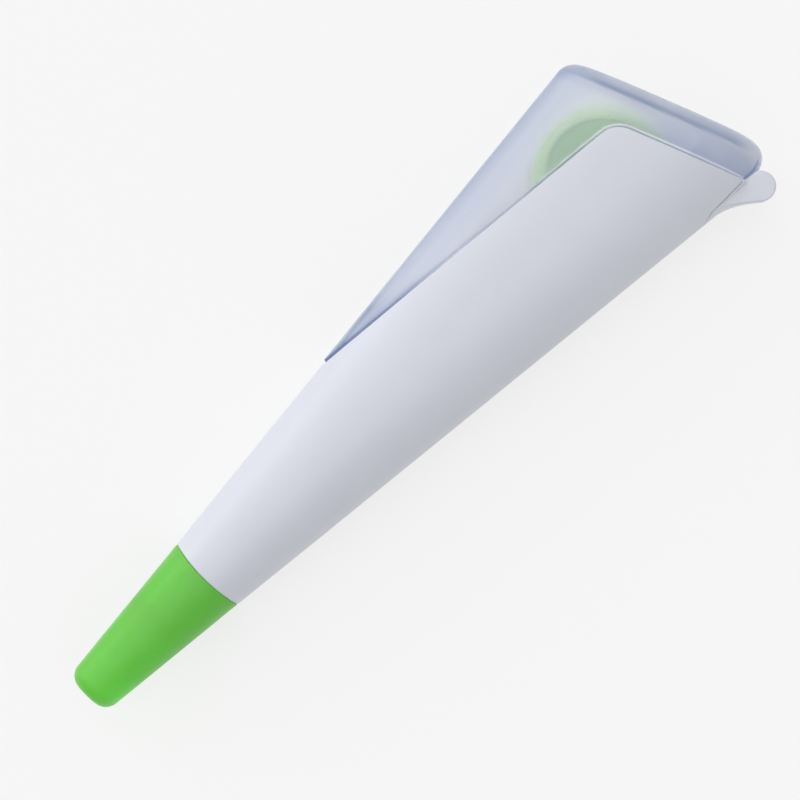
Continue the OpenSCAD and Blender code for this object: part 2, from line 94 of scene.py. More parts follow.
def shares(count: int) -> list[float]:
    """Even shares from 0 to 1 in so many steps."""
    return [i / count for i in range(count + 1)]


def turns(whole: float, count: int) -> list[float]:
    """Even angles from 0 to the whole turn in so many steps."""
    return [whole * t for t in shares(count)]


def heading(angle: float) -> Vector:
    """Unit vector in plan at an angle from +X."""
    return Vector((math.cos(angle), math.sin(angle), 0.0))


class Ramp(NamedTuple):
    """A smooth rise from 0 at its start to 1 at its end, which may lie on either side."""

    start: float
    end: float

    def at(self, value: float) -> float:
        """Height of the ramp at a value."""
        return smooth((value - self.start) / (self.end - self.start))


class Inset(NamedTuple):
    """How far a nested surface lies inside the form, at its upper side, lower side and face."""

    upper: float
    lower: float
    face: float


class Station(NamedTuple):
    """A cross section at s along the pen, with the extra insets and the lag of a rounded tail."""

    s: float
    upper: float = 0.0
    lower: float = 0.0
    face: float = 0.0
    lag: float = 0.0


FLUSH = Inset(0.0, 0.0, 0.0)


def all_round(depth: float) -> Inset:
    """Inset of the same depth on every side."""
    return Inset(depth, depth, depth)


@dataclass(frozen=True)
class WedgeForm:
    """The tapering crowned body with a slanted tail that every shell follows."""

    nose_len: float = 97.33
    tail_len: float = 17.35
    tail_slant: float = math.radians(21.4)
    half_w: float = 17.45
    side_taper: float = math.radians(5.9)
    half_t: float = 9.4
    nose_drop: float = 4.2
    thin_start: float = 45.0
    back_flat: float = 0.35
    nose_power: float = 2.3
    tail_power: float = 2.6
    case_len: float = 62.0
    tip_x: float = 126.65
    mouth_bow: float = 0.6
    bow_fade: float = 20.0

    @property
    def mid_z(self) -> float:
        """Height of the parting plane."""
        return self.half_t - self.back_flat

    @property
    def lean(self) -> float:
        """Tangent of the tail's slant."""
        return math.tan(self.tail_slant)

    def half_width(self, s: float) -> float:
        """Half width at s, square to the pen."""
        return self.half_w + s * math.tan(self.side_taper)

    def half_thick(self, s: float) -> float:
        """Half thickness at s."""
        share = max(0.0, -s - self.thin_start) / (self.tip_x - self.thin_start)
        return self.half_t - self.nose_drop * share * share

    def slant(self, s: float) -> float:
        """Tangent of the cross section's slant at s."""
        return self.lean * smooth((s + self.case_len) / self.case_len)

    def power(self, s: float) -> float:
        """Roundness exponent of the cross section at s."""
        return mix(self.nose_power, self.tail_power, smooth((s + self.tip_x) / self.tip_x))

    def upper(self, s: float) -> float:
        """Distance from the axis to the upper side along the slanted section."""
        return self.half_width(s) / (1 + self.slant(s) * math.tan(self.side_taper))

    def lower(self, s: float) -> float:
        """Distance from the axis to the lower side along the slanted section."""
        return self.half_width(s) / (1 - self.slant(s) * math.tan(self.side_taper))

    def point(self, station: Station, inset: Inset, angle: float, limit: float = math.inf) -> Vector:
        """Point of a nested surface.

        Args:
            station: the cross section.
            inset: the nested surface.
            angle: place round the section, 0 at the upper side and pi at the lower side.
            limit: height over the parting plane at which the section is cut flat.

        Returns:
            The point, in millimetres.
        """
        share = 2 / self.power(station.s)
        across = math.copysign(abs(math.cos(angle)) ** share, math.cos(angle))
        s = station.s - station.lag * (1 - across) / 2
        bow = self.mouth_bow * max(0.0, 1 - abs(s + self.nose_len) / self.bow_fade)
        slant = self.slant(s)
        side = self.upper(s) - inset.upper - station.upper
        if across < 0:
            side = self.lower(s) - inset.lower - station.lower
        height = self.half_thick(s) - inset.face - station.face
        z = min(limit, height * abs(math.sin(angle)) ** share)
        y = side * across
        x = s + bow * across * across - slant * y
        return Vector((x, y, self.mid_z + math.copysign(z, math.sin(angle))))

    def angle_at_y(self, s: float, y: float) -> float:
        """Angle round the section at which the outer surface is y from the axis."""
        across = min(1.0, abs(y) / (self.upper(s) if y >= 0 else self.lower(s))) ** (self.power(s) / 2)
        return math.acos(math.copysign(across, y))

    def low_angle(self, s: float, rise: float) -> float:
        """Angle on the lower side at which the outer surface is so far over the parting plane."""
        share = min(1.0, abs(rise) / self.half_thick(s)) ** (self.power(s) / 2)
        return math.pi - math.copysign(math.asin(share), rise)


FORM = WedgeForm()


class SectionScale:
    """Arc length round one cross section, from 0 at the lower side to 1 at the upper side."""

    STEPS = 110
    REACH = math.radians(250)

    def __init__(self, s: float) -> None:
        """Measures a section, and a stretch past its lower side.

        Args:
            s: the section.
        """
        self.angles = [self.REACH * (1 - t) for t in shares(self.STEPS)]
        points = [FORM.point(Station(s), FLUSH, angle) for angle in self.angles]
        steps = [(b - a).length for a, b in zip(points, points[1:])]
        run = list(accumulate(steps, initial=0.0))
        low = self._between(self.angles[::-1], run[::-1], math.pi)
        self.places = [(length - low) / (run[-1] - low) for length in run]

    @staticmethod
    def _between(keys: list[float], values: list[float], key: float) -> float:
        """Value at a key between rising keys."""
        i = min(len(keys) - 1, max(1, bisect.bisect_left(keys, key)))
        return mix(values[i - 1], values[i], (key - keys[i - 1]) / (keys[i] - keys[i - 1]))

    def angle(self, place: float) -> float:
        """Angle at a place."""
        return self._between(self.places, self.angles, place)

    def place(self, angle: float) -> float:
        """Place at an angle."""
        return self._between(self.angles[::-1], self.places[::-1], angle)


@lru_cache(maxsize=None)
def scale_at(s: float) -> SectionScale:
    """Arc scale of the section at s."""
    return SectionScale(s)


@dataclass(frozen=True)
class WindowCut:
    """The edge that the covers leave open: a sloping side, a round corner and the slanted tail edge."""

    grow: float = 0.0
    window_y: float = 6.02
    slope: float = math.radians(5.42)
    tail_show: float = 7.33
    radius: float = 4.8

    @property
    def tail_s(self) -> float:
        """Section at which the covers end."""
        return FORM.tail_len - (self.tail_show - self.grow) / math.cos(FORM.tail_slant)

    @property
    def bend(self) -> float:
        """Radius of the corner."""
        return self.radius + self.grow

    @property
    def line_y(self) -> float:
        """Distance of the sloping side from the reel's axis."""
        return self.window_y + self.grow / math.cos(self.slope)

    @property
    def centre(self) -> Vector:
        """Centre of the round corner.

        Returns:
            The centre in plan.
        """
        lean, fall = FORM.lean, math.tan(self.slope)
        inner_y = self.line_y - self.bend / math.cos(self.slope)
        inner_s = self.tail_s - self.bend / math.cos(FORM.tail_slant)
        y = (inner_y - inner_s * fall) / (1 - lean * fall)
        return Vector((inner_s - lean * y, y, 0.0))

    @property
    def corner_s(self) -> float:
        """Section at which the round corner starts."""
        start = self.centre + self.bend * heading(QUARTER - self.slope)
        return start.x + FORM.lean * start.y

    @property
    def corner_mid(self) -> tuple[float, float]:
        """Section and distance from the axis at the middle of the round corner."""
        spot = self.centre + self.bend * heading((QUARTER - self.slope + FORM.tail_slant) / 2)
        return spot.x + FORM.lean * spot.y, spot.y

    @property
    def point_s(self) -> float:
        """Section at which the window runs out at the upper side.

        Returns:
            The section, found by halving.
        """
        near, far = -FORM.case_len, 0.0
        for _ in range(HALVINGS):
            middle = (near + far) / 2
            near, far = (middle, far) if self.line_at(middle) > FORM.upper(middle) else (near, middle)
        return near

    def line_at(self, s: float) -> float:
        """Distance of the sloping side from the axis at a section."""
        fall = math.tan(self.slope)
        return (self.line_y - s * fall) / (1 - FORM.slant(s) * fall)

    def edge_y(self, s: float) -> float:
        """Distance of the edge from the axis.

        Args:
            s: a section up to the covers' end.

        Returns:
            The distance, on the sloping side or on the round corner.
        """
        if s <= self.corner_s:
            return min(self.line_at(s), FORM.upper(s))
        lean, centre = FORM.lean, self.centre
        a = 1 + lean * lean
        b = -(lean * (s - centre.x) + centre.y)
        c = (s - centre.x) ** 2 + centre.y**2 - self.bend**2
        return (-b + math.sqrt(max(0.0, b * b - a * c))) / a

    def edge_s(self, y: float) -> float:
        """Section of the edge on the tail side of the corner.

        Args:
            y: distance from the axis.

        Returns:
            The section, on the tail edge or on the round corner.
        """
        lift = y - self.centre.y
        x = self.centre.x + math.sqrt(max(0.0, self.bend**2 - lift * lift))
        on_edge = lift <= self.bend * math.sin(FORM.tail_slant)
        return self.tail_s if on_edge else x + FORM.lean * y

    def distance(self, spot: Vector) -> float:
        """Distance of a point from the edge in plan.

        Args:
            spot: the point.

        Returns:
            The distance, positive where the case is bare.
        """
        slant, slope = FORM.tail_slant, self.slope
        away = Vector((spot.x, spot.y, 0.0)) - self.centre
        past_side = away.x * math.sin(slope) + away.y * math.cos(slope)
        past_end = away.x * math.cos(slant) + away.y * math.sin(slant)
        in_corner = away.x * math.cos(slope) > away.y * math.sin(slope) and away.y > away.x * FORM.lean
        return (away.length if in_corner else max(past_side, past_end)) - self.bend

    def edge_place(self, s: float) -> float:
        """Place of the edge round the section at s."""
        return scale_at(s).place(FORM.angle_at_y(s, self.edge_y(s)))


def lay_grid(bm: BMesh, rows: PointRows) -> None:
    """Lays a grid of quads through rows of points.

    Args:
        bm: the mesh that takes the grid.
        rows: the points, as many in each row.
    """
    made = bmesh.ops.create_grid(bm, x_segments=len(rows[0]) - 1, y_segments=len(rows) - 1, size=1.0)
    for vert, spot in zip(made["verts"], chain.from_iterable(rows)):
        vert.co = spot


def closed_shell(bm: BMesh, outer: PointRows, inner: PointRows) -> None:
    """Lays a closed shell between an outer and an inner sheet of points.

    Args:
        bm: the mesh that takes the shell.
        outer: rows of points of the outer sheet.
        inner: as many rows of the inner sheet.
    """
    def end_row(i: int) -> list[Vector]:
        """Row half way between the sheets, which closes an end."""
        middle = [(a + b) / 2 for a, b in zip(outer[i], inner[i])]
        return middle + middle[::-1] + middle[:1]

    walls = [a + b[::-1] + a[:1] for a, b in zip(outer, inner)]
    lay_grid(bm, [end_row(0), *walls, end_row(-1)])


def close_seams(bm: BMesh) -> None:
    """Merges the points that meet, drops faces without area and turns the rest outwards.

    Args:
        bm: the mesh.
    """
    bmesh.ops.remove_doubles(bm, verts=bm.verts, dist=WELD)
    bmesh.ops.dissolve_degenerate(bm, dist=WELD, edges=bm.edges)
    bmesh.ops.recalc_face_normals(bm, faces=bm.faces)


def link_object(name: str, data: bpy.types.ID) -> Object:
    """Puts an object into the scene.

    Args:
        name: its name.
        data: its mesh, lamp or camera.

    Returns:
        The object.
    """
    thing = bpy.data.objects.new(name, data)
    bpy.context.scene.collection.objects.link(thing)
    return thing


def finish_mesh(bm: BMesh, name: str) -> Object:
    """Turns a mesh in millimetres into a smooth-shaded object in metres.

    Args:
        bm: the mesh, which is freed.
        name: the piece's name.

    Returns:
        The object, linked to the scene.
    """
    bmesh.ops.scale(bm, vec=(MM, MM, MM), verts=bm.verts)
    for face in bm.faces:
        face.smooth = True
    for edge in bm.edges:
        edge.smooth = edge.calc_face_angle(0.0) < SHARP
    mesh = bpy.data.meshes.new(name)
    bm.to_mesh(mesh)
    bm.free()
    return link_object(name, mesh)


def add_modifier(piece: Object, name: str, kind: str, **settings: object) -> None:
    """Adds a modifier.

    Args:
        piece: the piece that takes it.
        name: its name.
        kind: its type.
        **settings: its own properties.
    """
    modifier = piece.modifiers.new(name, kind)
    for key, value in settings.items():
        setattr(modifier, key, value)


def round_edges(piece: Object, name: str, radius: float, segments: int) -> None:
    """Adds a bevel that rounds a piece's sharp edges, with a radius in millimetres."""
    limits = {"limit_method": "ANGLE", "angle_limit": RIM_ANGLE}
    add_modifier(piece, name, "BEVEL", width=radius * MM, segments=segments, **limits)


def apply_modifiers(piece: Object) -> None:
    """Puts the result of a piece's modifiers into its mesh.

    Args:
        piece: the piece.
    """
    bpy.context.view_layer.update()
    shaped = piece.evaluated_get(bpy.context.evaluated_depsgraph_get())
    piece.data = bpy.data.meshes.new_from_object(shaped)
    piece.modifiers.clear()


def place_piece(piece: Object, material: Material, body: Body, node: str) -> None:
    """Dresses a piece, and makes it ride on its body and stand for its solid.

    Args:
        piece: the finished piece.
        material: its material.
        body: the body that carries it.
        node: the solid that it stands for.
    """
    piece.data.materials.clear()
    piece.data.materials.append(material)
    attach(piece, body.value)
    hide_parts(node)
    LOG.info("%s: %d faces", piece.name, len(piece.data.polygons))


def linear(colour: str) -> tuple[float, float, float, float]:
    """Linear colour of an sRGB hex value."""
    values = [int(colour[i : i + 2], 16) / 255 for i in (1, 3, 5)]
    return (*(v / 12.92 if v <= 0.04045 else ((v + 0.055) / 1.055) ** 2.4 for v in values), 1.0)


def add_node(tree: NodeTree, kind: str, inputs: dict | None = None, **settings: object) -> Node:
    """Adds a node.

    Args:
        tree: the tree that takes it.
        kind: its type, without the common start of the name.
        inputs: by socket, a value, or the socket or the node whose first output is linked to it.
        **settings: its own properties.

    Returns:
        The node.
    """
    node = tree.nodes.new(f"ShaderNode{kind}")
    for key, value in settings.items():
        setattr(node, key, value)
    for socket, value in (inputs or {}).items():
        if isinstance(value, Node):
            value = next(output for output in value.outputs if output.enabled)
        if isinstance(value, NodeSocket):
            tree.links.new(value, node.inputs[socket])
        else:
            node.inputs[socket].default_value = value
    return node


def per_metre(size_mm: float) -> float:
    """Pattern scale that gives features of so many millimetres."""
    return 1 / (size_mm * MM)


def let_light_in(tree: NodeTree, seen: Node, tint: str) -> Node:
    """Lets light from outside pass a thin wall, which blocks only the rays that look at it.

    Args:
        tree: the material's tree.
        seen: the wall's own shader.
        tint: what a wall leaves of the light.

    Returns:
        The shader of the surface.
    """
    rays = add_node(tree, "LightPath").outputs
    unseen = add_node(
        tree, "Math", {0: rays["Is Shadow Ray"], 1: rays["Is Diffuse Ray"]}, operation="MAXIMUM"
    )
    passed = add_node(tree, "BsdfTransparent", {"Color": linear(tint)})
    return add_node(tree, "MixShader", {0: unseen, 1: seen, 2: passed})


@dataclass(frozen=True)
class Finish:
    """A finish, named for its material and the way that its surface was made."""

    name: str

    def surface(self, tree: NodeTree) -> Node:
        """Shader of the surface, in the material's tree."""
        raise NotImplementedError

    def build(self) -> Material:
        """Builds the material.

        Returns:
            The material.
        """
        material = bpy.data.materials.new(self.name)
        material.use_nodes = True
        tree = material.node_tree
        tree.nodes.clear()
        add_node(tree, "OutputMaterial", {"Surface": self.surface(tree)})
        return material


@dataclass(frozen=True)
class MouldedPlastic(Finish):
    """A moulded plastic: faint flow clouds in its tone, a fine mould grain in its gloss and surface."""

    light: str
    deep: str
    roughness: float
    grain_mm: float = 0.35
    cloud_mm: float = 9.0
    gloss_spread: float = 0.05
    bump_um: float = 4.0
    ior: float = 1.5
    sheen_level: float = 0.5
    glow: float = 0.0
    glow_mm: tuple[float, float, float] = (1.0, 1.0, 1.0)
    way_in: str = ""

    def surface(self, tree: NodeTree) -> Node:
        """Shader of the plastic.

        Args:
            tree: the material's tree.

        Returns:
            The shader.
        """
        place = add_node(tree, "TexCoord").outputs["Object"]
        cloud, grain = (
            add_node(tree, "TexNoise", {"Vector": place, "Scale": per_metre(size), "Detail": detail})
            for size, detail in ((self.cloud_mm, 3.0), (self.grain_mm, 2.0))
        )
        colours = {"Factor": cloud, "A": linear(self.deep), "B": linear(self.light)}
        low, high = self.roughness - self.gloss_spread, self.roughness + self.gloss_spread
        height = {"Height": grain, "Strength": 0.6, "Distance": self.bump_um * MM * MM}
        shader = add_node(
            tree,
            "BsdfPrincipled",
            {
                "Base Color": add_node(tree, "Mix", colours, data_type="RGBA"),
                "Roughness": add_node(tree, "MapRange", {"Value": grain, "To Min": low, "To Max": high}),
                "Normal": add_node(tree, "Bump", height),
                "IOR": self.ior,
                "Specular IOR Level": self.sheen_level,
                "Subsurface Weight": self.glow,
                "Subsurface Radius": self.glow_mm,
                "Subsurface Scale": MM,
            },
        )
        return let_light_in(tree, shader, self.way_in) if self.way_in else shader


@dataclass(frozen=True)
class ReelPlastic(Finish):
    """A thin green moulding: the flange is pale, partly from the tape's white showing through and partly
    from a painted haze of the frosted case, and the raised disc is dense, with painted shade at its edge.
    """

    thin_and_hazed: str
    dense: str
    # Colour of the painted shade along the raised disc's edge
    rim: str
    disc_mm: float
    edge_shade_mm: float
    roughness: float
    ior: float = 1.5

    def surface(self, tree: NodeTree) -> Node:
        """Shader of the reel, by the distance from its axis, with a line of painted shade at the disc's
        edge.

        Args:
            tree: the material's tree.

        Returns:
            The shader.
        """
        place = add_node(tree, "TexCoord").outputs["Object"]
        flat = add_node(tree, "VectorMath", {0: place, 1: (1.0, 1.0, 0.0)}, operation="MULTIPLY")
        radius = add_node(tree, "VectorMath", {0: flat}, operation="LENGTH")
        outside = add_node(tree, "Math", {0: radius, 1: self.disc_mm * MM}, operation="GREATER_THAN")
        half = self.edge_shade_mm / 2
        edge = {0: radius, 1: (self.disc_mm - half) * MM, 2: half * MM}
        # A thin line of painted shade along the raised disc's edge.
        at_edge_shade = add_node(tree, "Math", edge, operation="COMPARE")
        colours = {"Factor": outside, "A": linear(self.dense), "B": linear(self.thin_and_hazed)}
        tone = add_node(tree, "Mix", colours, data_type="RGBA")
        edged = add_node(tree, "Mix", {"Factor": at_edge_shade, "A": tone, "B": linear(self.rim)}, data_type="RGBA")
        looks = {"Base Color": edged, "Roughness": self.roughness, "IOR": self.ior}
        return add_node(tree, "BsdfPrincipled", looks)


@dataclass(frozen=True)
class FrostedPlastic(Finish):
    """A clear plastic, frosted on the inside: it blurs what lies deep, and its tone runs to a deep blue
    where the wall is thick and where shade is painted on.
    """

    light: str
    # The deep blue, for thick walls and for painted shade
    thick_and_shaded: str
    roughness: float
    frost: float
    clear: float
    milky: float
    way_in: str
    thick_and_shade_layer: str = "thick_tone_and_painted_shade"
    milk_and_highlight_layer: str = "milkiness_and_painted_highlight"
    inner_layer: str = "inner_face"
    sheen_level: float = 0.25
    cloud_mm: float = 14.0
    gloss_spread: float = 0.06
    ior: float = 1.45

    def surface(self, tree: NodeTree) -> Node:
        """Shader of the plastic, from the layers of values on the piece's points: the blue of thick walls
        and of painted shade, the milkiness with a painted highlight, and the inner face.

        Args:
            tree: the material's tree.

        Returns:
            The shader.
        """
        names = (self.thick_and_shade_layer, self.milk_and_highlight_layer, self.inner_layer)
        depth, milk_and_highlight, inner = (add_node(tree, "Attribute", attribute_name=n).outputs["Fac"] for n in names)
        place = add_node(tree, "TexCoord").outputs["Object"]
        clouds = {"Vector": place, "Scale": per_metre(self.cloud_mm), "Detail": 2.0}
        cloud = add_node(tree, "TexNoise", clouds)
        frost = add_node(tree, "MapRange", {"Value": inner, "To Min": self.roughness, "To Max": self.frost})
        gloss = {0: cloud, 1: self.gloss_spread, 2: frost}
        clear = {"Value": milk_and_highlight, "To Min": self.clear, "To Max": self.milky}
        # The blue tone carries painted shade at the joints, the upper side and the tail, besides the look of
        # thick walls.
        colours = {"Factor": depth, "A": linear(self.light), "B": linear(self.thick_and_shaded)}
        shader = add_node(
            tree,
            "BsdfPrincipled",
            {
                "Base Color": add_node(tree, "Mix", colours, data_type="RGBA"),
                "Roughness": add_node(tree, "Math", gloss, operation="MULTIPLY_ADD"),
                "Transmission Weight": add_node(tree, "MapRange", clear, clamp=False),
                "IOR": self.ior,
                "Specular IOR Level": self.sheen_level,
            },
        )
        return let_light_in(tree, shader, self.way_in)


@dataclass(frozen=True)
class WoundFilm(Finish):
    """Film wound on a reel: fine rings round the reel's axis, from the edges of the turns."""

    light: str
    deep: str
    axis_x: float
    roughness: float
    turn_mm: float = 0.3
    edge_mm: float = 0.03
    ior: float = 1.5

    def surface(self, tree: NodeTree) -> Node:
        """Shader of the wound film.

        Args:
            tree: the material's tree.

        Returns:
            The shader.
        """
        place = add_node(tree, "TexCoord").outputs["Object"]
        centred = add_node(tree, "Mapping", {"Vector": place, "Location": (-self.axis_x * MM, 0.0, 0.0)})
        # The real turns are a twentieth of a millimetre apart; they are drawn coarser so that they show.
        # A wave texture runs through 20 radians in one unit of its scale.
        wave = {"Vector": centred, "Scale": 2 * math.pi / 20 * per_metre(self.turn_mm), "Distortion": 0.4}
        rings = add_node(tree, "TexWave", wave, wave_type="RINGS", rings_direction="Z").outputs["Fac"]
        colours = {"Factor": rings, "A": linear(self.deep), "B": linear(self.light)}
        height = {"Height": rings, "Strength": 0.4, "Distance": self.edge_mm * MM}
        looks = {
            "Base Color": add_node(tree, "Mix", colours, data_type="RGBA"),
            "Normal": add_node(tree, "Bump", height),
            "Roughness": self.roughness,
            "IOR": self.ior,
        }
        return add_node(tree, "BsdfPrincipled", looks)


@dataclass(frozen=True)
class PaleFloor(Finish):
    """A matt floor that looks nearly even from the camera and keeps the object's shadow."""

    lit: str
    seen: str
    glow: float

    def surface(self, tree: NodeTree) -> Node:
        """Shader of the floor, paler for rays from the camera, also by way of a gloss or a clear wall.

        Args:
            tree: the material's tree.

        Returns:
            The shader.
        """
        rays = add_node(tree, "LightPath").outputs
        eye = rays["Is Camera Ray"]
        for kind in ("Is Glossy Ray", "Is Transmission Ray"):
            eye = add_node(tree, "Math", {0: eye, 1: rays[kind]}, operation="MAXIMUM")
        share = add_node(tree, "Math", {0: eye, 1: self.glow}, operation="MULTIPLY")
        lit = add_node(tree, "BsdfDiffuse", {"Color": linear(self.lit)})
        plain = add_node(tree, "Emission", {"Color": linear(self.seen)})
        return add_node(tree, "MixShader", {0: share, 1: lit, 2: plain})


@dataclass
class Sheath:
    """The two white covers, with the lug that parts them on the rear one."""

    finish: MouldedPlastic
    cut: WindowCut = WindowCut()
    skin: float = 1.1
    seam: float = 0.06
    rim_r: float = 0.25
    rim_steps: int = 3
    rows: int = 84
    columns: int = 54
    corner_rows: int = 6
    point_room: float = 0.4
    least_step: float = 0.001
    rise: Ramp = Ramp(3.5, 9.5)
    rise_step: float = 4.5
    rise_slope: float = 0.128
    lug_gap: float = 0.2
    lug_r: float = 2.68
    lug_x: float = 17.83
    lug_root: float = 9.33
    lug_out: float = 0.8
    lug_flare: float = math.radians(41)
    lug_up: float = 4.4
    lug_down: float = 1.4
    lug_round: float = 0.3
    lug_steps: int = 16
    lug_edge_steps: int = 4

    def joint_rise(self, x: float) -> float:
        """Height over the parting plane at which the covers meet on the lower side."""
        return self.rise_step * self.rise.at(x) + self.rise_slope * max(0.0, x - self.rise.end)

    def rim_rise(self, s: float, half: Half) -> float:
        """Height of a cover's lower rim over the parting plane, towards its own face.

        Args:
            s: the section.
            half: the cover's half.

        Returns:
            The height.
        """
        x = s + FORM.slant(s) * FORM.lower(s)
        if half is Half.FRONT:
            return self.joint_rise(x) + self.seam / 2
        return self.lug_gap * self.rise.at(x) - self.joint_rise(x) + self.seam / 2

    def low_place(self, s: float, half: Half) -> float:
        """Place of a cover's lower rim round the section."""
        return scale_at(s).place(FORM.low_angle(s, self.rim_rise(s, half)))

    def row_shares(self) -> list[float]:
        """Shares at which a cover's rows lie, with rows at the window's point and round its corner.

        Returns:
            The shares, from 0 at the nose to 1 at the middle of the corner.
        """
        nose_s, mid_s = -FORM.nose_len, self.cut.corner_mid[0]
        point_u, corner_u = ((s - nose_s) / (mid_s - nose_s) for s in (self.cut.point_s, self.cut.corner_s))
        corner = (mix(corner_u, 1.0, t) for t in shares(self.corner_rows))
        plain = (u for u in shares(self.rows) if abs(u - point_u) > self.point_room / self.rows)
        along = sorted({*plain, point_u, *corner})
        return [u for u, after in zip(along, along[1:] + [math.inf]) if after - u > self.least_step]

    def sheet(self, half: Half) -> PointRows:
        """Points of a cover's outer face, with its edges on the window, the tail edge and the rims.

        Args:
            half: the cover's half.

        Returns:
            Rows of points from the nose to the tail edge.
        """
        mid_s, mid_y = self.cut.corner_mid
        nose_s, tail_s = -FORM.nose_len, self.cut.tail_s
        mid_place = scale_at(mid_s).place(FORM.angle_at_y(mid_s, mid_y))
        seam_place = 1 - scale_at(nose_s).place(FORM.low_angle(nose_s, self.seam / 2))

        def top(u: float) -> tuple[float, float]:
            """Section and place of the upper edge at a share along the cover."""
            s = mix(nose_s, mid_s, u)
            return s, min(seam_place, self.cut.edge_place(s))

        def bottom(u: float) -> tuple[float, float]:
            """Section and place of the lower rim at a share along the cover."""
            s = mix(nose_s, tail_s, u)
            return s, self.low_place(s, half)

        def right(v: float) -> tuple[float, float]:
            """Section and place of the tail edge at a share across the cover."""
            place = mix(self.low_place(tail_s, half), mid_place, v)
            return self.cut.edge_s(FORM.point(Station(mid_s), FLUSH, scale_at(mid_s).angle(place)).y), place

        def left(v: float) -> tuple[float, float]:
            """Section and place of the nose edge at a share across the cover."""
            return nose_s, mix(self.low_place(nose_s, half), seam_place, v)

        def patch(u: float, v: float) -> Vector:
            """Point of the face that the four edges span.

            Args:
                u: share along the cover.
                v: share across it.

            Returns:
                The point, in the cover's half.
            """
            sides = zip(bottom(u), top(u), left(v), right(v), bottom(0), bottom(1), top(0), top(1))
            s, place = (
                mix(b, t, v) + mix(a, c, u) - mix(mix(b0, b1, u), mix(t0, t1, u), v)
                for b, t, a, c, b0, b1, t0, t1 in sides
            )
            spot = FORM.point(Station(s), FLUSH, SectionScale(s).angle(place))
            if half is Half.REAR:
                spot.z = max(0.0, 2 * FORM.mid_z - spot.z)
            return spot

        return [[patch(u, v) for v in shares(self.columns)] for u in self.row_shares()]

    def low_side(self, x: float, depth: float) -> Vector:
        """Point of the lower side line at x, moved inwards."""
        return Vector((x, -FORM.half_width(x) + depth / math.cos(FORM.side_taper), 0.0))

    def face_depth(self, x: float, rise: float) -> float:
        """Depth of the rear cover's lower face from the side line.

        Args:
            x: place along the pen.
            rise: height over the parting plane.

        Returns:
            The depth.
        """
        side = self.low_side(x, 0.0)
        s = x + FORM.lean * side.y
        return FORM.point(Station(s), FLUSH, FORM.low_angle(s, rise)).y - side.y

    def lug_outline(self, rise: float, inset: float) -> list[Vector]:
        """Outline of the lug at a height: a flare that leaves the side smoothly, and a round end.

        Args:
            rise: height over the parting plane.
            inset: how far the outline is drawn in.

        Returns:
            The points, with the last ones inside the cover's wall.
        """
        root_x, radius = self.lug_x - self.lug_root, self.lug_r - inset
        centre = self.low_side(self.lug_x, -self.lug_out)
        root_depth = self.face_depth(root_x, rise)
        start = self.low_side(root_x, root_depth + inset)
        side, flare = heading(-FORM.side_taper), heading(-self.lug_flare)
        turn = -QUARTER - self.lug_flare
        depth = self.face_depth(self.lug_x, rise) + self.skin / 2
        close = math.asin(min(1.0, (self.lug_out + depth) / radius)) - FORM.side_taper
        join = centre + radius * heading(turn)
        away = join - start
        reach = (away.x * flare.y - away.y * flare.x) / (side.x * flare.y - side.y * flare.x)
        bend = start + reach * side
        sweep = [start.lerp(bend, t).lerp(bend.lerp(join, t), t) for t in shares(self.lug_steps)]
        end = [centre + radius * heading(mix(turn, close, t)) for t in shares(2 * self.lug_steps)[1:]]
        points = [self.low_side(root_x, root_depth + self.skin / 2 + inset), *sweep, *end]
        tops = [min(1.0, (self.joint_rise(point.x) - self.lug_gap) / self.lug_up) for point in points]
        lifts = [rise * top if rise > 0 else rise for top in tops]
        return [Vector((*point.xy, FORM.mid_z + lift)) for point, lift in zip(points, lifts)]

    def build_lug(self) -> Object:
        """Builds the lug.

        Returns:
            A slab with round edges.
        """
        quarter = turns(QUARTER, self.lug_edge_steps)
        steps = [(self.lug_round * (1 - math.cos(a)), self.lug_round * (1 - math.sin(a))) for a in quarter]
        low = [self.lug_outline(-self.lug_down + up, inset) for up, inset in steps]
        high = [self.lug_outline(self.lug_up - up, inset) for up, inset in reversed(steps)]
        bm = bmesh.new()
        lay_grid(bm, [row + row[:1] for row in low + high])
        close_seams(bm)
        bmesh.ops.holes_fill(bm, edges=bm.edges)
        bmesh.ops.triangulate(bm, faces=bm.faces)
        bmesh.ops.recalc_face_normals(bm, faces=bm.faces)
        return finish_mesh(bm, "lug_slab")

    def build_cover(self, half: Half, name: str) -> Object:
        """Builds a cover as a wall with round rims.

        Args:
            half: the cover's half.
            name: the piece's name.

        Returns:
            The cover.
        """
        bm = bmesh.new()
        lay_grid(bm, self.sheet(half))
        close_seams(bm)
        if sum(face.normal.z for face in bm.faces) * half.value < 0:
            bmesh.ops.reverse_faces(bm, faces=bm.faces)
        cover = finish_mesh(bm, name)
        add_modifier(cover, "wall", "SOLIDIFY", thickness=self.skin * MM, offset=-1.0, use_even_offset=True)
        round_edges(cover, "rim", self.rim_r, self.rim_steps)
        return cover

    def build(self) -> None:
        """Builds and dresses both covers."""
        material = self.finish.build()
        front = self.build_cover(Half.FRONT, "front_sheath")
        rear = self.build_cover(Half.REAR, "rear_sheath")
        lug = self.build_lug()
        add_modifier(rear, "lug", "BOOLEAN", operation="UNION", solver="MANIFOLD", object=lug)
        for piece, node in ((front, "front_cover"), (rear, "rear_cover")):
            add_modifier(piece, "flat_faces", "WEIGHTED_NORMAL", keep_sharp=True)
            apply_modifiers(piece)
            place_piece(piece, material, Body.ROOT, node)
        bpy.data.objects.remove(lug)


